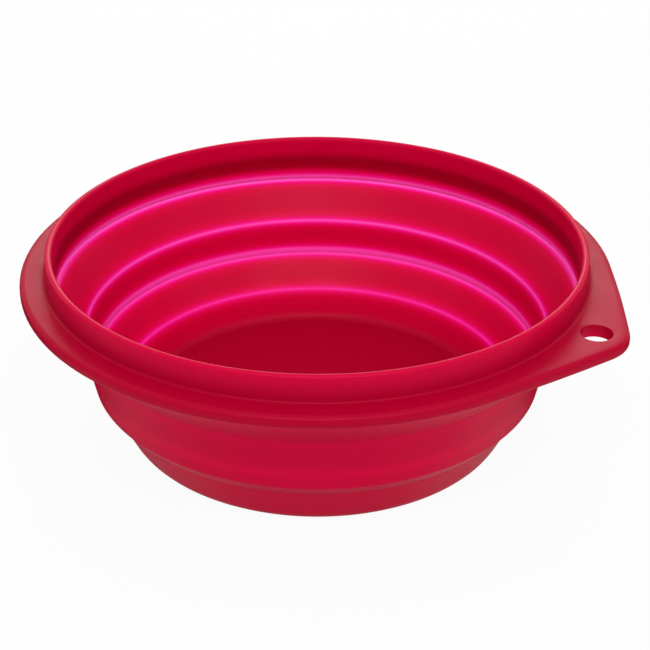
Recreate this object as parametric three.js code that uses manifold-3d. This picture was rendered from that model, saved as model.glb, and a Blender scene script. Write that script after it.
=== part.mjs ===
// Collapsible silicone travel bowl, standing open. Millimetres, +Z up.
// The bowl's axis is Z, its underside is at Z = 0 and its hang tab points along +X.
import * as THREE from "three";
import { mergeVertices } from "three/addons/utils/BufferGeometryUtils.js";
import Module from "manifold-3d";

const wasm = await Module();
wasm.setup();

// Rim: a rounded lip on an upright collar, with a flat flange round the outside
const lipRadius = 64.25; // outside of the lip
const lipWidth = 1.8; // thickness of the lip
const collarHeight = 12.1; // top of the lip down to the first fold line
const collarSpread = 1.25; // how far the collar's outside widens down to the flange
const collarFootWall = 1.9; // collar's thickness at the first fold line
const flangeReach = 5.75; // flange beyond the lip
const flangeThickness = 3.05;
const flangeDrop = 6.2; // top of the lip down to the flange's upper face
const flangeEdge = 0.75; // rounding of the flange's outer edge

// Hang tab: a blunt point moulded onto the flange, with a round eye
const tabReach = 7.6; // tip beyond the flange
const tabTipRadius = 11;
const eyeRadius = 3.65;
const eyeMargin = 2.65; // silicone left between the eye and the tip
const eyeEdge = 0.4; // softened edge of the eye

// Fold bands and rings, each from its upper fold line to its lower one, along the inside
const upperFoldDrop = 9.1;
const upperFoldStep = 6.85;
const ringHeight = 9.2;
const ringTaper = 1.7;
const ringWall = 1.9;
const ringSkirt = 4.05; // the ring's outside hangs this far below its lower fold line
const skirtWall = 0.5; // skirt's lower edge outside the lower fold line
const skirtRounding = 1.3;
const lowerFoldDrop = 8.5;
const lowerFoldStep = 6.3;
const elbowDrop = 0.5; // outside corner below the inside one where the wall turns inwards
const elbowRise = 1.0; // outside corner above the inside one where the wall turns down

// Base cup
const cupHeight = 10.45; // underside up to the lowest fold line
const cupWall = 3.6; // wall across at the lowest fold line
const cupTaper = 2.2; // inside of the wall, from the lowest fold line to the floor
const floorThickness = 3.3;
const floorRounding = 2.6; // inside corner between wall and floor
const cupOuterTaper = 5.7; // outside of the wall, from the lowest fold line to the ground
const footRounding = 6;

// Living hinges: thin webs left under a groove
const hingeReach = 0.8; // along the wall, each way from the fold line
const hingeWeb = 1.1; // silicone left under the groove
const cupHingeWeb = 2.0; // the same at the heavier base cup

const seamGap = 0.3; // between the flange, the tab and the collar
const facets = 72; // round the bowl
const eyeFacets = 24;
const lipFacets = 6; // over the lip
const cornerFacets = 4; // round a small corner
const footFacets = 6; // round the foot
const mergeDistance = 1e-4; // corners this close are one corner

const at = (r, z) => new THREE.Vector2(r, z);
const along = (from, to, distance) => to.clone().sub(from).setLength(distance).add(from);

// Points of an arc that rounds a corner, from the side of one neighbour to the other
function roundCorner(before, corner, after, radius, steps) {
  const a = before.clone().sub(corner).normalize();
  const b = after.clone().sub(corner).normalize();
  const halfAngle = Math.acos(a.dot(b)) / 2;
  const centre = a.clone().add(b).setLength(radius / Math.sin(halfAngle)).add(corner);
  const first = along(corner, before, radius / Math.tan(halfAngle)).sub(centre);
  const last = along(corner, after, radius / Math.tan(halfAngle)).sub(centre);
  const turn = Math.atan2(first.cross(last), first.dot(last));
  const origin = at(0, 0);
  return Array.from({ length: steps + 1 }, (_, i) =>
    first.clone().rotateAround(origin, (turn * i) / steps).add(centre),
  );
}

// The profile's corners, from the lip down: inside, then outside
const lipTop = cupHeight + lowerFoldDrop + ringHeight + upperFoldDrop + collarHeight;
const fold1 = at(lipRadius - lipWidth, lipTop - collarHeight);
const fold2 = at(fold1.x - upperFoldStep, fold1.y - upperFoldDrop);
const fold3 = at(fold2.x - ringTaper, fold2.y - ringHeight);
const fold4 = at(fold3.x - lowerFoldStep, fold3.y - lowerFoldDrop);
const floorCorner = at(fold4.x - cupTaper, floorThickness);
const collarElbow = at(fold1.x + collarFootWall, fold1.y - elbowDrop);
const ringElbow = at(fold2.x + ringWall, fold2.y + elbowRise);
const skirtCorner = at(fold3.x + skirtWall, fold3.y - ringSkirt);
const cupElbow = at(fold4.x + cupWall, fold4.y + elbowRise);
const footCorner = at(cupElbow.x - cupOuterTaper, 0);

// The ring's outside, level with its lower fold line
const ringSlope = (ringElbow.x - skirtCorner.x) / (ringElbow.y - skirtCorner.y);
const ringOutside = (z) => at(skirtCorner.x + (z - skirtCorner.y) * ringSlope, z);

// Cuts across the wall, [inside, outside], where one piece ends and the next begins
const collarCut = [along(fold1, at(fold1.x, lipTop), hingeReach)];
collarCut.push(at(collarElbow.x, collarCut[0].y));
const upperFoldTop = [along(fold1, fold2, hingeReach), along(collarElbow, ringElbow, hingeReach)];
const upperFoldFoot = [along(fold2, fold1, hingeReach), along(ringElbow, collarElbow, hingeReach)];
const ringTop = [along(fold2, fold3, hingeReach), along(ringElbow, skirtCorner, hingeReach)];
const ringFoot = [along(fold3, fold2, hingeReach), ringOutside(fold3.y + hingeReach)];
const lowerFoldTop = [along(fold3, fold4, hingeReach), ringOutside(fold3.y - hingeReach)];
const lowerFoldFoot = [along(fold4, fold3, hingeReach), along(cupElbow, skirtCorner, hingeReach)];
const cupTop = [along(fold4, floorCorner, hingeReach), along(cupElbow, footCorner, hingeReach)];

// Bottoms of the hinge grooves: inside on folds 1 and 3, outside on folds 2 and 4
const groove1 = along(collarElbow, fold1, hingeWeb);
const groove2 = along(fold2, ringElbow, hingeWeb);
const groove3 = along(ringOutside(fold3.y), fold3, hingeWeb);
const groove4 = along(fold4, cupElbow, cupHingeWeb);

// Lip and flange levels
const lipRounding = lipWidth / 2;
const lipCentre = at(lipRadius - lipRounding, lipTop - lipRounding);
const seatRadius = lipRadius + collarSpread;
const flangeRadius = lipRadius + flangeReach;
const flangeTop = lipTop - flangeDrop;
const flangeBottom = flangeTop - flangeThickness;
const lipArc = Array.from({ length: lipFacets + 1 }, (_, i) => {
  const angle = Math.PI * (1 - i / lipFacets);
  return at(lipCentre.x + lipRounding * Math.cos(angle), lipCentre.y + lipRounding * Math.sin(angle));
});

// Rounded corners: the base wall has the whole inside one, and shares the foot with the floor
const floorArc = roundCorner(fold4, floorCorner, at(0, floorThickness), floorRounding, cornerFacets);
const footArc = roundCorner(cupElbow, footCorner, at(0, 0), footRounding, footFacets);
const footMiddle = footArc.length >> 1;
const skirtArc = roundCorner(ringElbow, skirtCorner, cupElbow, skirtRounding, cornerFacets);

const silicone = (color) => new THREE.MeshStandardMaterial({ color, roughness: 0.45, metalness: 0 });
const bodyColour = "#be002d";
const hingeColour = "#e0208a";

function named(name, geometry, colour) {
  const mesh = new THREE.Mesh(geometry, silicone(colour));
  mesh.name = name;
  return mesh;
}

// A ring turned from a closed profile of radius and height
function turned(name, profile, colour) {
  const loop = THREE.ShapeUtils.isClockWise(profile) ? [...profile].reverse() : profile;
  const geometry = new THREE.LatheGeometry([...loop, loop[0]], facets);
  return named(name, geometry.rotateX(Math.PI / 2), colour);
}

function rimCollar() {
  const outside = [at(seatRadius, flangeTop), at(seatRadius, flangeBottom)];
  return turned("rim_collar", [collarCut[0], ...lipArc, ...outside, collarCut[1]], bodyColour);
}

function upperOuterHinge() {
  const inside = [collarCut[0], groove1, upperFoldTop[0]];
  return turned("upper_outer_hinge", [...inside, upperFoldTop[1], collarElbow, collarCut[1]], hingeColour);
}

function upperFoldBand() {
  return turned("upper_fold_band", [...upperFoldTop, ...[...upperFoldFoot].reverse()], bodyColour);
}

function upperInnerHinge() {
  const inside = [upperFoldFoot[0], fold2, ringTop[0]];
  return turned("upper_inner_hinge", [...inside, ringTop[1], groove2, upperFoldFoot[1]], hingeColour);
}

function middleRing() {
  return turned("middle_ring", [...ringTop, ...[...ringFoot].reverse()], bodyColour);
}

function lowerOuterHinge() {
  const inside = [ringFoot[0], groove3, lowerFoldTop[0]];
  return turned("lower_outer_hinge", [...inside, lowerFoldTop[1], ringFoot[1]], hingeColour);
}

function lowerFoldBand() {
  const outside = [lowerFoldTop[1], ...skirtArc, lowerFoldFoot[1]];
  return turned("lower_fold_band", [lowerFoldTop[0], ...outside, lowerFoldFoot[0]], bodyColour);
}

function lowerInnerHinge() {
  const inside = [lowerFoldFoot[0], fold4, cupTop[0]];
  return turned("lower_inner_hinge", [...inside, cupTop[1], groove4, lowerFoldFoot[1]], hingeColour);
}

function baseWall() {
  const inside = [cupTop[0], ...floorArc];
  const outside = footArc.slice(0, footMiddle + 1).reverse();
  return turned("base_wall", [...inside, ...outside, cupTop[1]], bodyColour);
}

function baseFloor() {
  const inside = [floorArc.at(-1), at(0, floorThickness)];
  const outside = [at(0, 0), ...footArc.slice(footMiddle).reverse()];
  return turned("base_floor", [...inside, ...outside], bodyColour);
}

function solidOf(geometry) {
  geometry.deleteAttribute("normal");
  geometry.deleteAttribute("uv");
  const merged = mergeVertices(geometry, mergeDistance);
  const vertProperties = new Float32Array(merged.attributes.position.array);
  const triVerts = new Uint32Array(merged.index.array);
  return new wasm.Manifold(new wasm.Mesh({ numProp: 3, vertProperties, triVerts }));
}

function geometryOf(solid) {
  const mesh = solid.getMesh();
  const geometry = new THREE.BufferGeometry();
  geometry.setAttribute("position", new THREE.BufferAttribute(mesh.vertProperties, 3));
  geometry.setIndex(new THREE.BufferAttribute(mesh.triVerts, 1));
  return geometry;
}

// The flange and the tab in one plate: the flange's circle and the tip's, with their common tangents
const tipCentre = flangeRadius + tabReach - tabTipRadius;
const tangentAngle = Math.acos((flangeRadius - tabTipRadius) / tipCentre);
const eyeCentre = flangeRadius + tabReach - eyeMargin - eyeRadius;

function flangePlate() {
  const outline = new THREE.Shape();
  outline.absarc(0, 0, flangeRadius, tangentAngle, 2 * Math.PI - tangentAngle, false);
  outline.absarc(tipCentre, 0, tabTipRadius, -tangentAngle, tangentAngle, false);
  const plate = new THREE.ExtrudeGeometry(outline, {
    depth: flangeThickness - 2 * flangeEdge,
    bevelThickness: flangeEdge,
    bevelSize: flangeEdge,
    bevelOffset: -flangeEdge,
    bevelSegments: cornerFacets,
    curveSegments: facets / 2,
  });
  return solidOf(plate.translate(0, 0, flangeBottom + flangeEdge));
}

// What the collar takes out of the plate
function collarBore() {
  const bore = new THREE.CylinderGeometry(seatRadius + seamGap, seatRadius + seamGap, lipTop, facets);
  return solidOf(bore.rotateX(Math.PI / 2).translate(0, 0, lipTop / 2));
}

// What the eye takes out of the tab, flared at both faces
function eyeCutter() {
  const wide = eyeRadius + eyeEdge;
  const half = flangeThickness / 2;
  const end = flangeThickness;
  const flare = wide + end - half;
  const profile = [
    at(0, -end),
    at(flare, -end),
    at(eyeRadius, eyeEdge - half),
    at(eyeRadius, half - eyeEdge),
    at(flare, end),
    at(0, end),
  ];
  const cutter = new THREE.LatheGeometry(profile, eyeFacets).rotateX(Math.PI / 2);
  return solidOf(cutter.translate(eyeCentre, 0, flangeBottom + half));
}

// The sector of the plate that counts as the tab, cut where its sides leave the flange's circle
function tabSector(inset) {
  const far = 2 * (flangeRadius + tabReach);
  const apex = inset / Math.sin(tangentAngle);
  const sector = new THREE.Shape([
    at(apex, 0),
    at(apex + far * Math.cos(tangentAngle), -far * Math.sin(tangentAngle)),
    at(apex + far * Math.cos(tangentAngle), far * Math.sin(tangentAngle)),
  ]);
  return solidOf(new THREE.ExtrudeGeometry(sector, { depth: lipTop, bevelEnabled: false }));
}

function flangeAndTab() {
  const plate = flangePlate().subtract(collarBore());
  const flange = plate.subtract(tabSector(0));
  const tab = plate.intersect(tabSector(seamGap)).subtract(eyeCutter());
  return [
    named("rim_flange", geometryOf(flange), bodyColour),
    named("hang_tab", geometryOf(tab), bodyColour),
  ];
}

const baseCup = new THREE.Group();
baseCup.add(baseFloor(), baseWall(), lowerInnerHinge(), lowerFoldBand());

const ring = new THREE.Group();
ring.add(lowerOuterHinge(), middleRing(), upperInnerHinge(), upperFoldBand());

const rim = new THREE.Group();
rim.add(upperOuterHinge(), rimCollar(), ...flangeAndTab());

const bowl = new THREE.Group();
bowl.add(baseCup, ring, rim);

export default bowl;
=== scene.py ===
import math
from collections import Counter
from functools import cache

import bmesh
import bpy
from mathutils import Matrix, Vector
from mathutils.geometry import intersect_line_line, intersect_point_line


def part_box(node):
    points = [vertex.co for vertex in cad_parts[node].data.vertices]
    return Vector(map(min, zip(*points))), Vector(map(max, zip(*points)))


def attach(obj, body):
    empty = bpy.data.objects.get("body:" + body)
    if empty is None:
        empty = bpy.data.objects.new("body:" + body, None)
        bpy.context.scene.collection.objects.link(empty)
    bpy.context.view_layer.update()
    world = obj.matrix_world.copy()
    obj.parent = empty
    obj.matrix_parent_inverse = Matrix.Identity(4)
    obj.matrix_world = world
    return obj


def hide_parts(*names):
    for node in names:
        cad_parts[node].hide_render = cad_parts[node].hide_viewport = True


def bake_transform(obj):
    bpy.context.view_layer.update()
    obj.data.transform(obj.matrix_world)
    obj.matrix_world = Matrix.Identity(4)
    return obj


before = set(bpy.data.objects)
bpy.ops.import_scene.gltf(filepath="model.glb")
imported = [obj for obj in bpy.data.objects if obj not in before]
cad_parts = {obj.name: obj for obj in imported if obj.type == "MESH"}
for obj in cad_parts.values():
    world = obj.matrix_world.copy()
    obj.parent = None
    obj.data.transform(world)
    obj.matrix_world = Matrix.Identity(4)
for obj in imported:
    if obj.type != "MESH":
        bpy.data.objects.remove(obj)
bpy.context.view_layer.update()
mm = 0.001
scene = bpy.context.scene

print("stage 1: section of the bowl's wall")

readAt = {
    "flat": 1e-6,  # metres off a plane that still count as on it
    "digits": 6,  # that two equal corners share
    "straight": 2,  # degrees of turn under which a corner is only the end of a cut
}
hinges = ("lower_inner_hinge", "lower_outer_hinge", "upper_inner_hinge", "upper_outer_hinge")
turnedNodes = (
    "base_floor", "base_wall", "lower_inner_hinge", "lower_fold_band", "lower_outer_hinge",
    "middle_ring", "upper_inner_hinge", "upper_fold_band", "upper_outer_hinge", "rim_collar",
)


def placeOf(point):  # radius and height, rounded so that equal corners compare equal
    return round(math.hypot(point.x, point.y), readAt["digits"]), round(point.z, readAt["digits"])


def sectionEdges(node):  # where the half plane y = 0, x > 0 cuts a turned node
    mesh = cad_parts[node].data
    inPlane = [abs(v.co.y) < readAt["flat"] and v.co.x > -readAt["flat"] for v in mesh.vertices]
    return {
        frozenset(placeOf(mesh.vertices[i].co) for i in edge.vertices)
        for edge in mesh.edges if all(inPlane[i] for i in edge.vertices)
    }


def traceOutline(*nodes):  # walks round the nodes; a cut that two of them share drops out
    uses = Counter(edge for node in nodes for edge in sectionEdges(node))
    links = {}
    for edge in uses:
        if uses[edge] == 1 and len(edge) == 2:
            first, last = edge
            links.setdefault(first, []).append(last)
            links.setdefault(last, []).append(first)
    outline = [min(links, key=lambda p: (len(links[p]), p))]  # an end on the axis, where there is one
    while onward := [p for p in links[outline[-1]] if p not in outline]:
        outline.append(onward[0])
    return outline


def turnAt(before, corner, after):
    return math.degrees((Vector(corner) - Vector(before)).angle(Vector(after) - Vector(corner)))


sections = {node: traceOutline(node) for node in turnedNodes}
shares = Counter(corner for section in sections.values() for corner in section)
ownCorners = {node: [p for p in sections[node] if shares[p] == 1] for node in hinges}
folds = {node: min(ownCorners[node]) for node in hinges}  # each hinge's corner on the inside face
inwardHinges = [node for node in hinges if node.endswith("inner_hinge")]
crests = {folds[node] for node in inwardHinges}  # folds that point inwards; their grooves are outside
tips = set(folds.values()) - crests  # bottoms of the grooves inside

wall = traceOutline(*turnedNodes)
triples = zip(wall, wall[1:], wall[2:])
bends = [corner for before, corner, after in triples if turnAt(before, corner, after) > readAt["straight"]]
wall = [wall[0], *bends, wall[-1]]

crease = {"lipBack": 1.0, "lipOut": 0.12}  # mm; outside a crest the walls meet in a crease under a soft lip
creases, lips = [], []
for node in inwardHinges:
    groove = wall.index(max(ownCorners[node]))
    lower = [Vector((r, 0, z)) for r, z in wall[groove - 2:groove]]
    upper = [Vector((r, 0, z)) for r, z in wall[groove + 1:groove + 3]]
    meet = intersect_line_line(*lower, *upper)[0]
    up = (upper[1] - meet).normalized()
    lip = meet + up * crease["lipBack"] * mm + Vector((up.z, 0, -up.x)) * crease["lipOut"] * mm
    wall[groove - 1:groove + 2] = placeOf(meet), placeOf(lip)
    creases.append(placeOf(meet))
    lips.append(placeOf(lip))

rimFit = {  # mm away from the CAD, as the photograph shows them
    "growth": 0.35,  # of the flange's and the tab's outline
    "footIn": 0.8,  # of the collar's foot
}
flangeLow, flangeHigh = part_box("rim_flange")
flangeRadius = rimFit["growth"] * mm - flangeLow.x
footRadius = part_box("rim_collar")[1].x
seatRadius = footRadius - rimFit["footIn"] * mm
seat = [placeOf(Vector((seatRadius, 0, z))) for z in (flangeLow.z, flangeHigh.z)]
footAt = wall.index(placeOf(Vector((footRadius, 0, flangeLow.z))))
wall[footAt:footAt + 2] = seat[0], (flangeRadius, flangeLow.z), (flangeRadius, flangeHigh.z), seat[1]

rounding = {  # mm of wall that a rounding takes up on each side of its corner
    "crest": 1.8,  # folds that point inwards
    "tip": 0.25,  # bottom of a groove inside
    "crease": 0.1,  # outside a crest
    "lip": 0.5,  # above a crease
    "mouth": 0.4,  # edges of a groove
    "seat": 0.5,  # hollow between the collar and the flange
    "edge": 1.15,  # flange's outer edge
    "arc": 0.25,  # facets of the lip, the foot, the skirt and the floor's corner
}
cornersOf = {"crest": crests, "tip": tips, "crease": creases, "lip": lips, "seat": seat}


def kindOf(corner):
    for kind, corners in cornersOf.items():
        if corner in corners:
            return kind
    if corner[0] > seatRadius + readAt["flat"]:
        return "edge"
    return "mouth" if any(corner in sections[node] for node in hinges) else "arc"


turning = {
    "steps": 192,  # round the bowl
    "segments": 5,  # round a corner
    "sharp": 40,  # degrees between faces that stay an edge
}


def roundWall():  # the whole section as a wire from the middle of the underside to the middle of the floor
    bm = bmesh.new()
    verts = [bm.verts.new((radius, 0, height)) for radius, height in wall]
    for pair in zip(verts, verts[1:]):
        bm.edges.new(pair)
    kinds = {v: kindOf(placeOf(v.co)) for v in verts[1:-1]}
    for kind, size in rounding.items():
        bmesh.ops.bevel(
            bm, geom=[v for v in kinds if kinds[v] == kind], offset=size * mm, offset_type="OFFSET",
            affect="VERTICES", segments=turning["segments"], profile=0.5, material=-1, clamp_overlap=True,
        )
    return bm


wallWire = roundWall()


def walkInside():  # the inside face, from the floor's middle to the top of the lip
    top = max(v.co.z for v in wallWire.verts)
    chain = [max((v for v in wallWire.verts if len(v.link_edges) == 1), key=lambda v: v.co.z)]
    while chain[-1].co.z < top - readAt["flat"]:
        neighbours = [edge.other_vert(chain[-1]) for edge in chain[-1].link_edges]
        chain.append(next(v for v in neighbours if v not in chain[-2:]))
    return [v.co.xz for v in chain]


insideFace = walkInside()
print("   fold lines at", [(round(r / mm, 2), round(z / mm, 2)) for r, z in folds.values()])

print("stage 2: silicone")


def hexColour(code):  # sRGB hex to linear
    channels = [int(code[i:i + 2], 16) / 255 for i in (1, 3, 5)]
    return [c / 12.92 if c <= 0.04045 else ((c + 0.055) / 1.055) ** 2.4 for c in channels] + [1]


def addNode(tree, kind, inputs={}, **settings):  # each input is a value, or the socket that runs into it
    node = tree.nodes.new(kind)
    for name, value in settings.items():
        setattr(node, name, value)
    for name, value in inputs.items():
        if isinstance(value, bpy.types.NodeSocket):
            tree.links.new(value, node.inputs[name])
        else:
            node.inputs[name].default_value = value
    return node


silicone = {
    "body": "#c80038",  # crimson where the wall is about 2 mm thick
    # painted shade: the bulk colour darkens the wall where thick silicone, the flange or the table lies
    # behind it and holds back light
    "bulkShade": "#96001f",  # deeper where much silicone lies behind the surface
    # painted glow: pink painted on where the webs are thin, standing in for light shining through from
    # behind
    "paintedGlow": "#c466cb",  # light that comes in through the thinnest web
    "absorption": {"Red": 0.67, "Green": 4.0, "Blue": 1.5},  # per mm, so the light turns pink, then red
    "ior": 1.42,
    "shine": 0.075,
    "roughness": (0.33, 0.41),
    "cloud": 9,  # mm, faint uneven satin
    "cloudDetail": 3,
    "cloudRange": (0.3, 0.7),  # of the noise, that the roughness goes over
    "grain": 0.35,  # mm, fine satin of the tool; the real one is finer, drawn as coarse as it needs to show
    "grainDetail": 2,
    "grainDepth": 0.012,  # mm
    "grainStrength": 0.5,
}


# the colour paints light and shade: a pink glow where the webs are thin, for light shining through, and
# painted shade where thick silicone, the flange or the table lies behind
def makeSilicone():  # satin moulded silicone: soft broad sheen, and light bleeds through where it is thin
    material = bpy.data.materials.new("satinMouldedSilicone")
    material.use_nodes = True
    tree = material.node_tree
    tree.nodes.clear()
    place = addNode(tree, "ShaderNodeTexCoord").outputs["Object"]
    path = addNode(tree, "ShaderNodeAttribute", attribute_name="paintedGlowPath").outputs["Fac"]
    bulkShade = addNode(tree, "ShaderNodeAttribute", attribute_name="bulkShade").outputs["Fac"]
    # painted glow: pink added to the colour, fading with the light path through the silicone
    paintedGlow = addNode(tree, "ShaderNodeCombineColor")
    for (channel, perMm), light in zip(silicone["absorption"].items(), hexColour(silicone["paintedGlow"])):
        loss = addNode(tree, "ShaderNodeMath", {0: path, 1: -perMm}, operation="MULTIPLY")
        left = addNode(tree, "ShaderNodeMath", {0: loss.outputs[0]}, operation="EXPONENT")
        share = addNode(tree, "ShaderNodeMath", {0: left.outputs[0], 1: light}, operation="MULTIPLY")
        tree.links.new(share.outputs[0], paintedGlow.inputs[channel])
    # painted shade: the body colour is mixed towards the bulk colour by the painted-shade attribute
    shadedBody = addNode(
        tree, "ShaderNodeMix", {0: bulkShade, 6: hexColour(silicone["body"]), 7: hexColour(silicone["bulkShade"])},
        data_type="RGBA",
    )
    colour = addNode(
        tree, "ShaderNodeMix", {0: 1, 6: shadedBody.outputs[2], 7: paintedGlow.outputs[0]},
        data_type="RGBA", blend_type="ADD", clamp_result=True,
    )
    cloud = addNode(
        tree, "ShaderNodeTexNoise",
        {"Vector": place, "Scale": 1 / (silicone["cloud"] * mm), "Detail": silicone["cloudDetail"]},
    )
    cloudLow, cloudHigh = silicone["cloudRange"]
    smooth, rough = silicone["roughness"]
    satin = addNode(
        tree, "ShaderNodeMapRange",
        {
            "Value": cloud.outputs["Fac"], "From Min": cloudLow, "From Max": cloudHigh,
            "To Min": smooth, "To Max": rough,
        },
    )
    grain = addNode(
        tree, "ShaderNodeTexNoise",
        {"Vector": place, "Scale": 1 / (silicone["grain"] * mm), "Detail": silicone["grainDetail"]},
    )
    bump = addNode(
        tree, "ShaderNodeBump",
        {
            "Height": grain.outputs["Fac"], "Strength": silicone["grainStrength"],
            "Distance": silicone["grainDepth"] * mm,
        },
    )
    shader = addNode(
        tree, "ShaderNodeBsdfPrincipled",
        {
            "Base Color": colour.outputs[2], "Roughness": satin.outputs["Result"],
            "Normal": bump.outputs["Normal"],
            "IOR": silicone["ior"], "Specular IOR Level": silicone["shine"],
        },
    )
    addNode(tree, "ShaderNodeOutputMaterial", {"Surface": shader.outputs["BSDF"]})
    return material


satinSilicone = makeSilicone()

# painted glow, which stands in for light shining through the thin webs: lift is the mm from a fold up to the
# middle of its line, half the mm each side of it that glow alike, and depth the mm of light path for each mm
# below the inside face
glow = {
    "crest": {"lift": 0.35, "half": 0.15, "depth": 0.6},
    "groove": {"lift": 0.6, "half": 0.9, "depth": 1.9},
    "spread": 1.2,  # mm of light path for each mm beyond
    "lower": 0.0115,  # mm of light path for each mm below the top fold, where less light comes in
    "far": 9,  # mm of light path after which nothing is left
}


def nearest(point):  # how far a point lies below the inside face
    gaps = []
    for start, end in zip(insideFace, insideFace[1:]):
        foot, share = intersect_point_line(point, start, end)
        foot = start if share < 0 else end if share > 1 else foot
        gaps.append((Vector(foot[:2]) - point).length)
    return min(gaps)


def onFace(corner):  # the point of the rounded inside face that is next to a sharp corner
    return min(insideFace, key=lambda p: (p - Vector(corner)).length)


foldLines = []
for corner in folds.values():
    kind = glow["crest" if corner in crests else "groove"]
    foldLines.append((onFace(corner) + Vector((0, kind["lift"] * mm)), kind["half"], kind["depth"]))
topFold = max(height for radius, height in folds.values())


# painted glow: this light path sets how much pink is painted on, for light shining through the thin webs
@cache
def paintedGlowPath(radius, height):  # mm of silicone between a point and the light that comes in at the folds
    point = Vector((radius, height))
    beyond = [max((point - line).length / mm - half, 0) * glow["spread"] for line, half, depth in foldLines]
    if min(beyond) > glow["far"]:
        return glow["far"]
    inside = nearest(point) / mm
    paths = [gap + inside * depth for gap, (line, half, depth) in zip(beyond, foldLines)]
    return min(min(paths) + max(topFold - height, 0) / mm * glow["lower"], glow["far"])


# painted shade: where and how strongly the bulk colour darkens the wall, behind the flange and on the floor,
# standing in for light that the thick silicone and the table hold back
backingShade = {  # a pair is for the inside and the outside
    "above": (1.6, 4),  # mm over which the flange's bulk fades above it
    "inset": 1.0,  # mm above the flange's underside where it starts to fade
    "below": 0.8,  # mm over which it fades from there
    "flange": (1, 0.65),  # share of it that shows
    "floor": (0.75, 0),  # the floor's bulk, with nothing but the table behind it
    "floorFade": 1.2,  # mm over which it fades up the wall
    "wall": 2,  # mm from the inside face to the outside
}
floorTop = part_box("base_floor")[1].z


# painted shade: share of the bulk colour at a point of the section
@cache
def bulkShadeAt(radius, height):  # 0 on a plain wall, 1 where the silicone is thickest
    outward = min(nearest(Vector((radius, height))) / (backingShade["wall"] * mm), 1)

    def across(kind):  # from its inside setting to its outside one
        inside, outside = backingShade[kind]
        return inside + (outside - inside) * outward

    floorRise = max(height - floorTop, 0) / (backingShade["floorFade"] * mm)
    over = max(height - flangeHigh.z, 0) / (across("above") * mm)
    under = max(flangeLow.z + backingShade["inset"] * mm - height, 0) / (backingShade["below"] * mm)
    return across("floor") * math.exp(-floorRise ** 2) + across("flange") * math.exp(-over ** 2 - under ** 2)


print("stage 3: turned pieces")

webReach = {"below": 2.2, "above": 1.95}  # mm of its neighbours that a web takes in with its roundings
wallPieces = (
    "baseCup", "lowerInnerWeb", "lowerFoldBand", "lowerOuterWeb", "middleRing",
    "upperInnerWeb", "upperFoldBand", "upperOuterWeb", "rim",
)
lowerEnd = {"hollow": 0.5}  # mm, so that no piece's lower end lies on the flat upper end of the next
seams = [None]  # heights of the cuts between them, each on a straight stretch of wall
for radius, height in folds.values():
    seams += [height - webReach["below"] * mm, height + webReach["above"] * mm]
seams.append(None)
reaches = dict(zip(wallPieces, zip(seams, seams[1:])))


def sliceWall(name):  # the part of the section between two cuts, closed across each cut
    bm = wallWire.copy()
    for height, side in zip(reaches[name], ("clear_inner", "clear_outer")):
        if height:
            cut = bmesh.ops.bisect_plane(
                bm, geom=bm.verts[:] + bm.edges[:], plane_co=(0, 0, height), plane_no=(0, 0, 1),
                **{side: True},
            )["geom_cut"]
            ends = [v for v in cut if isinstance(v, bmesh.types.BMVert)]
            closing = bm.edges.new(ends)
            if side == "clear_inner":
                middle = bmesh.utils.edge_split(closing, ends[0], 0.5)[1]
                middle.co.z += lowerEnd["hollow"] * mm
    return bm


def splitLong(bm, spacing, edges):  # enough rings along the wall to carry the glow
    for edge in edges:
        cuts = int(edge.calc_length() / (spacing * mm))
        if cuts:
            bmesh.ops.subdivide_edges(bm, edges=[edge], cuts=cuts)


def finishPiece(bm, name):
    bmesh.ops.remove_doubles(bm, verts=bm.verts[:], dist=readAt["flat"])
    bmesh.ops.dissolve_degenerate(bm, edges=bm.edges[:], dist=readAt["flat"])
    bmesh.ops.recalc_face_normals(bm, faces=bm.faces[:])
    # painted glow, stored at each corner for the material
    glowLayer = bm.verts.layers.float.new("paintedGlowPath")
    # painted shade, stored at each corner for the material
    bulkShadeLayer = bm.verts.layers.float.new("bulkShade")
    for v in bm.verts:
        v[glowLayer] = paintedGlowPath(*placeOf(v.co))
        v[bulkShadeLayer] = bulkShadeAt(*placeOf(v.co))
    mesh = bpy.data.meshes.new(name)
    bm.to_mesh(mesh)
    bm.free()
    mesh.shade_smooth()
    mesh.set_sharp_from_angle(angle=math.radians(turning["sharp"]))
    mesh.materials.append(satinSilicone)
    piece = bpy.data.objects.new(name, mesh)
    scene.collection.objects.link(piece)
    print("  ", name, len(mesh.polygons), "faces")
    return piece


def turnPiece(name, spacing):
    bm = sliceWall(name)
    splitLong(bm, spacing, bm.edges[:])
    bmesh.ops.spin(
        bm, geom=bm.verts[:] + bm.edges[:], cent=(0, 0, 0), axis=(0, 0, 1),
        angle=2 * math.pi, steps=turning["steps"], use_merge=True,
    )
    return finishPiece(bm, name)


baseCupShape = {"spacing": 1.2}  # mm between rings
baseCup = turnPiece("baseCup", **baseCupShape)
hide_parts("base_floor", "base_wall")
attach(baseCup, "base_cup")

ringShape = {"spacing": 0.6}
middleRing = turnPiece("middleRing", **ringShape)
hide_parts("middle_ring")
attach(middleRing, "ring")

foldShape = {"webSpacing": 0.25, "bandSpacing": 0.5}
foldingPieces = {  # node, bodies above and below, and the hinges between which the wall turns inside out
    "lowerInnerWeb": ("lower_inner_hinge", "ring", "base_cup", "lower"),
    "lowerFoldBand": ("lower_fold_band", "ring", "base_cup", "lower"),
    "lowerOuterWeb": ("lower_outer_hinge", "ring", "base_cup", "lower"),
    "upperInnerWeb": ("upper_inner_hinge", "rim", "ring", "upper"),
    "upperFoldBand": ("upper_fold_band", "rim", "ring", "upper"),
    "upperOuterWeb": ("upper_outer_hinge", "rim", "ring", "upper"),
}
for name, (node, above, below, level) in foldingPieces.items():
    isBand = name.endswith("Band")
    piece = turnPiece(name, foldShape["bandSpacing" if isBand else "webSpacing"])
    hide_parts(node)
    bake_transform(piece)

print("stage 4: rim with its flange and hang tab")

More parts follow.
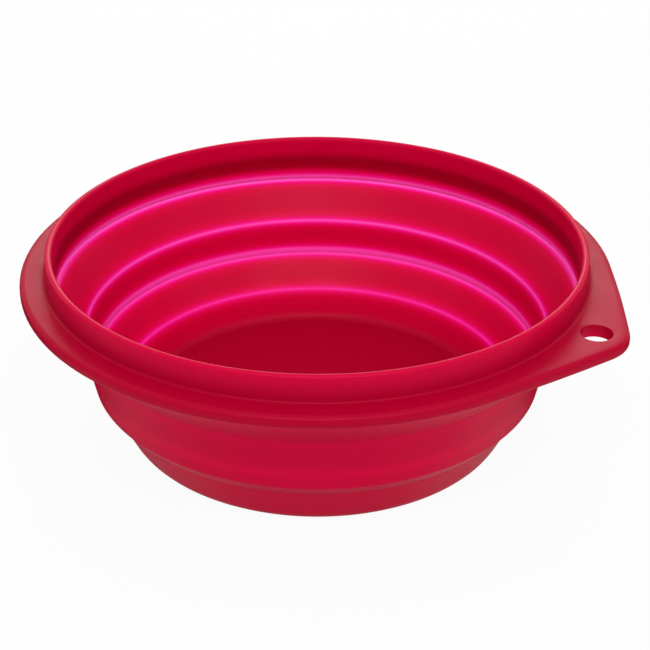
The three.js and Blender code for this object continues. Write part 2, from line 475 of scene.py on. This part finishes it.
rimShape = {
    "spacing": 0.6,
    "flats": 10,  # rings across the flange's flat faces
    "tabSteps": 96,  # round the tab's sector
    "otherSteps": 128,  # round the rest
}
tabShape = {
    "tipRadius": 11,
    "bulge": 0.3,  # of its sides
    "eyeRadius": 3.65,
    "eyeMargin": 3.55,  # silicone between the eye and the tip
    "eyeClear": 0.35,  # flat ring left round it
    "eyeEdge": 0.2,
}
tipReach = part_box("hang_tab")[1].x + rimFit["growth"] * mm
tipRadius = tabShape["tipRadius"] * mm
tipCentre = tipReach - tipRadius
tabAngle = math.acos((flangeRadius - tipRadius) / tipCentre)  # where its sides leave the flange's circle
tipAngle = math.atan2(tipRadius * math.sin(tabAngle), tipCentre + tipRadius * math.cos(tabAngle))
flatStart = seatRadius + rounding["seat"] * mm
flatEnd = flangeRadius - rounding["edge"] * mm
eyeRadius = tabShape["eyeRadius"] * mm
eyeCentre = Vector((tipReach - tabShape["eyeMargin"] * mm - eyeRadius, 0, 0))


def tabReach(angle):  # radius of the outline at an angle from the tab's middle
    if angle > tabAngle:
        return flangeRadius
    if angle > tipAngle:
        along = (angle - tipAngle) / (tabAngle - tipAngle)
        return flangeRadius / math.cos(tabAngle - angle) + tabShape["bulge"] * mm * 4 * along * (1 - along)
    across = tipCentre * math.sin(angle)
    return tipCentre * math.cos(angle) + math.sqrt(tipRadius ** 2 - across ** 2)


def drawTab(bm):  # the flange's flat faces and edge are drawn out to the tab's outline
    for v in bm.verts:
        radius = math.hypot(v.co.x, v.co.y)
        share = min(max((radius - flatStart) / (flatEnd - flatStart), 0), 1)
        if share:
            angle = abs(math.atan2(v.co.y, v.co.x))
            grown = radius + share * (tabReach(angle) - flangeRadius)
            v.co.x *= grown / radius
            v.co.y *= grown / radius


def pierceEye(bm):
    clear = eyeRadius + tabShape["eyeClear"] * mm
    levels = flangeLow.z, flangeHigh.z

    def overEye(face):  # a flat face that reaches into the eye
        flat = any(all(abs(v.co.z - level) < readAt["flat"] for v in face.verts) for level in levels)
        return flat and min((v.co - eyeCentre).to_2d().length for v in face.verts) < clear

    def roundEye(vert):  # angle about the eye from the tab's middle line
        out = vert.co - eyeCentre
        return (math.atan2(out.y, out.x) + readAt["flat"]) % (2 * math.pi)

    bmesh.ops.delete(bm, geom=[f for f in bm.faces if overEye(f)], context="FACES")
    holes = [e for e in bm.edges if e.is_boundary]
    rings = []
    for level in levels:  # each hole's edge is drawn in to a circle
        hole = [e for e in holes if abs(e.verts[0].co.z - level) < readAt["flat"]]
        drawn = bmesh.ops.extrude_edge_only(bm, edges=hole)["geom"]
        ring = sorted((v for v in drawn if isinstance(v, bmesh.types.BMVert)), key=roundEye)
        for i, v in enumerate(ring):
            turn = 2 * math.pi * i / len(ring)
            v.co = eyeCentre + Vector((math.cos(turn) * eyeRadius, math.sin(turn) * eyeRadius, level))
        rings += [e for e in drawn if isinstance(e, bmesh.types.BMEdge) and e.is_boundary]
    bmesh.ops.bridge_loops(bm, edges=rings)
    bmesh.ops.recalc_face_normals(bm, faces=bm.faces[:])
    bmesh.ops.bevel(
        bm, geom=rings, offset=tabShape["eyeEdge"] * mm, offset_type="OFFSET", affect="EDGES",
        segments=turning["segments"], profile=0.5, material=-1,
    )


def onFlats(edge):  # an edge of the section that lies along a flat face of the flange
    return all(flatStart - readAt["flat"] < v.co.x < flatEnd + readAt["flat"] for v in edge.verts)


def makeRim():
    bm = sliceWall("rim")
    flats = [e for e in bm.edges if onFlats(e)]
    splitLong(bm, rimShape["spacing"], [e for e in bm.edges if e not in flats])
    bmesh.ops.subdivide_edges(bm, edges=flats, cuts=rimShape["flats"] - 1)
    bmesh.ops.rotate(bm, verts=bm.verts[:], cent=(0, 0, 0), matrix=Matrix.Rotation(-tabAngle, 3, "Z"))
    last = bm.verts[:] + bm.edges[:]
    tabSector = 2 * tabAngle
    sectors = (tabSector, rimShape["tabSteps"]), (2 * math.pi - tabSector, rimShape["otherSteps"])
    for angle, steps in sectors:
        last = bmesh.ops.spin(
            bm, geom=last, cent=(0, 0, 0), axis=(0, 0, 1), angle=angle, steps=steps,
        )["geom_last"]
    bmesh.ops.remove_doubles(bm, verts=bm.verts[:], dist=readAt["flat"])
    drawTab(bm)
    pierceEye(bm)
    return finishPiece(bm, "rim")


rim = makeRim()
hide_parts("rim_collar", "rim_flange", "hang_tab")
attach(rim, "rim")

print("stage 5: camera, floor and light")

cameraView = {
    "azimuth": 29.0,  # degrees round from the side, with the tab to the right and nearer
    "elevation": 25.82,  # of the camera above the lip's centre
    "distance": 392.0,  # mm from the lip's centre
    "lookDown": 28.81,
    "yaw": 0.32,
    "roll": 0.39,
    "lens": 91.35,  # mm, on a sensor 36 mm wide
}


def wayOut(azimuth, elevation=0):  # direction from the bowl, degrees round from the camera's side and up
    turn = math.radians(cameraView["azimuth"] + azimuth)
    rise = math.radians(elevation)
    return Vector((math.sin(turn) * math.cos(rise), -math.cos(turn) * math.cos(rise), math.sin(rise)))


def placeCamera():
    azimuth, lookDown, yaw, roll = (
        math.radians(cameraView[name]) for name in ("azimuth", "lookDown", "yaw", "roll")
    )
    lipCentre = Vector((0, 0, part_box("rim_collar")[1].z))
    place = Matrix.Translation(lipCentre + wayOut(0, cameraView["elevation"]) * cameraView["distance"] * mm)
    turn = Matrix.Rotation(azimuth - yaw, 4, "Z") @ Matrix.Rotation(math.pi / 2 - lookDown, 4, "X")
    data = bpy.data.cameras.new("camera")
    data.lens = cameraView["lens"]
    camera = bpy.data.objects.new("camera", data)
    camera.matrix_world = place @ turn @ Matrix.Rotation(roll, 4, "Z")
    scene.collection.objects.link(camera)
    scene.camera = camera


placeCamera()

studio = {
    "floor": "#e4e3e1",
    "floorSize": 2.4,  # metres across
    "white": 0.94,  # share of plain white in the floor that the camera sees; the rest keeps the shadow
    "sheenFloor": 0.38,  # level of the floor ahead of the bowl that shows in the sheen
    "rightCard": (0.015, 0.06, 1),  # metres to the right where a paler card starts and is full, its level
    "leftCard": (-0.015, -0.07, 0.7),
    "ahead": (0.0, 0.04),  # metres ahead of the bowl where they start and are full
    "ambient": (0.35, 0.85),  # what the room adds to the lamps, at the horizon and overhead
    "backdrop": (0.1, 0.5),  # from the side to the back, where the room turns to a white backdrop
}


def seenRays(tree, direct, reflected):  # direct for what the camera sees, reflected for sheen and glass
    rays = addNode(tree, "ShaderNodeLightPath").outputs
    bounced = addNode(
        tree, "ShaderNodeMath", {0: rays["Is Glossy Ray"], 1: rays["Is Transmission Ray"]},
        operation="MAXIMUM",
    )
    inSheen = addNode(tree, "ShaderNodeMath", {0: bounced.outputs[0], 1: reflected}, operation="MULTIPLY")
    inView = addNode(tree, "ShaderNodeMath", {0: rays["Is Camera Ray"], 1: direct}, operation="MULTIPLY")
    seen = addNode(
        tree, "ShaderNodeMath", {0: inView.outputs[0], 1: inSheen.outputs[0]}, operation="MAXIMUM",
    )
    return seen.outputs[0]


def makeFloor():  # matt paper sweep: pale and even, with only the bowl's soft shadow on it
    material = bpy.data.materials.new("paleSweep")
    material.use_nodes = True
    tree = material.node_tree
    tree.nodes.clear()
    place = addNode(tree, "ShaderNodeTexCoord").outputs["Object"]
    right = addNode(tree, "ShaderNodeVectorMath", {0: place, 1: wayOut(90)}, operation="DOT_PRODUCT")
    ahead = addNode(tree, "ShaderNodeVectorMath", {0: place, 1: wayOut(0)}, operation="DOT_PRODUCT")
    cards = {}
    for i, name in enumerate(("rightCard", "leftCard")):
        start, full, level = studio[name]
        card = addNode(
            tree, "ShaderNodeMapRange",
            {
                "Value": right.outputs["Value"], "From Min": start, "From Max": full,
                "To Min": studio["sheenFloor"], "To Max": level,
            },
        )
        cards[i] = card.outputs["Result"]
    paler = addNode(tree, "ShaderNodeMath", cards, operation="MAXIMUM")
    start, full = studio["ahead"]
    inFront = addNode(
        tree, "ShaderNodeMapRange", {"Value": ahead.outputs["Value"], "From Min": start, "From Max": full},
    )
    sheen = addNode(
        tree, "ShaderNodeMath", {0: paler.outputs[0], 1: inFront.outputs["Result"]}, operation="MULTIPLY",
    )
    matt = addNode(tree, "ShaderNodeBsdfDiffuse", {"Color": hexColour(studio["floor"])})
    white = addNode(tree, "ShaderNodeEmission", {"Strength": seenRays(tree, 1, sheen.outputs[0])})
    mixed = addNode(
        tree, "ShaderNodeMixShader",
        {0: seenRays(tree, studio["white"], 1), 1: matt.outputs[0], 2: white.outputs[0]},
    )
    addNode(tree, "ShaderNodeOutputMaterial", {"Surface": mixed.outputs[0]})
    bm = bmesh.new()
    bmesh.ops.create_grid(bm, x_segments=1, y_segments=1, size=studio["floorSize"] / 2)
    mesh = bpy.data.meshes.new("floor")
    bm.to_mesh(mesh)
    bm.free()
    mesh.materials.append(material)
    floor = bpy.data.objects.new("floor", mesh)
    scene.collection.objects.link(floor)


def makeWorld():
    world = bpy.data.worlds.new("whiteStudio")
    world.use_nodes = True
    tree = world.node_tree
    tree.nodes.clear()
    place = addNode(tree, "ShaderNodeTexCoord").outputs["Generated"]
    ahead = addNode(tree, "ShaderNodeVectorMath", {0: place, 1: wayOut(0)}, operation="DOT_PRODUCT")
    overhead = addNode(tree, "ShaderNodeVectorMath", {0: place, 1: (0, 0, 1)}, operation="DOT_PRODUCT")
    side, back = studio["backdrop"]
    backdrop = addNode(
        tree, "ShaderNodeMapRange", {"Value": ahead.outputs["Value"], "From Min": -side, "From Max": -back},
    )
    level, top = studio["ambient"]
    room = addNode(
        tree, "ShaderNodeMapRange", {"Value": overhead.outputs["Value"], "To Min": level, "To Max": top},
    )
    rays = addNode(tree, "ShaderNodeLightPath").outputs
    ambient = addNode(
        tree, "ShaderNodeMath", {0: rays["Is Diffuse Ray"], 1: room.outputs["Result"]}, operation="MULTIPLY",
    )
    strength = addNode(
        tree, "ShaderNodeMath", {0: seenRays(tree, 1, backdrop.outputs["Result"]), 1: ambient.outputs[0]},
        operation="MAXIMUM",
    )
    light = addNode(
        tree, "ShaderNodeBackground", {"Color": hexColour("#ffffff"), "Strength": strength.outputs[0]},
    )
    addNode(tree, "ShaderNodeOutputWorld", {"Surface": light.outputs[0]})
    world.cycles.sampling_method = "NONE"  # every ray to the room keeps its kind
    scene.world = world


softboxes = {  # degrees round from the camera to its right and up, metres away, metres wide and high, watts
    "overhead": {"azimuth": 4, "elevation": 48, "distance": 0.9, "sides": (0.9, 0.25), "power": 3.8},
    "right": {"azimuth": 70, "elevation": 35, "distance": 0.9, "sides": (0.5, 0.5), "power": 0.6},
    "left": {"azimuth": -70, "elevation": 35, "distance": 0.9, "sides": (0.5, 0.5), "power": 0.45},
    "back": {"azimuth": 180, "elevation": 28, "distance": 0.9, "sides": (0.5, 0.3), "power": 2.5},
}


def hangSoftboxes():
    for name, box in softboxes.items():
        out = wayOut(box["azimuth"], box["elevation"])
        data = bpy.data.lights.new(name, "AREA")
        data.shape = "RECTANGLE"
        data.size, data.size_y = box["sides"]
        data.energy = box["power"]
        lamp = bpy.data.objects.new(name, data)
        lamp.location = out * box["distance"]
        lamp.rotation_euler = out.to_track_quat("Z", "Y").to_euler()
        lamp.visible_camera = False
        scene.collection.objects.link(lamp)


makeFloor()
makeWorld()
hangSoftboxes()
scene.view_settings.view_transform = "Standard"

print("stage 6: done")
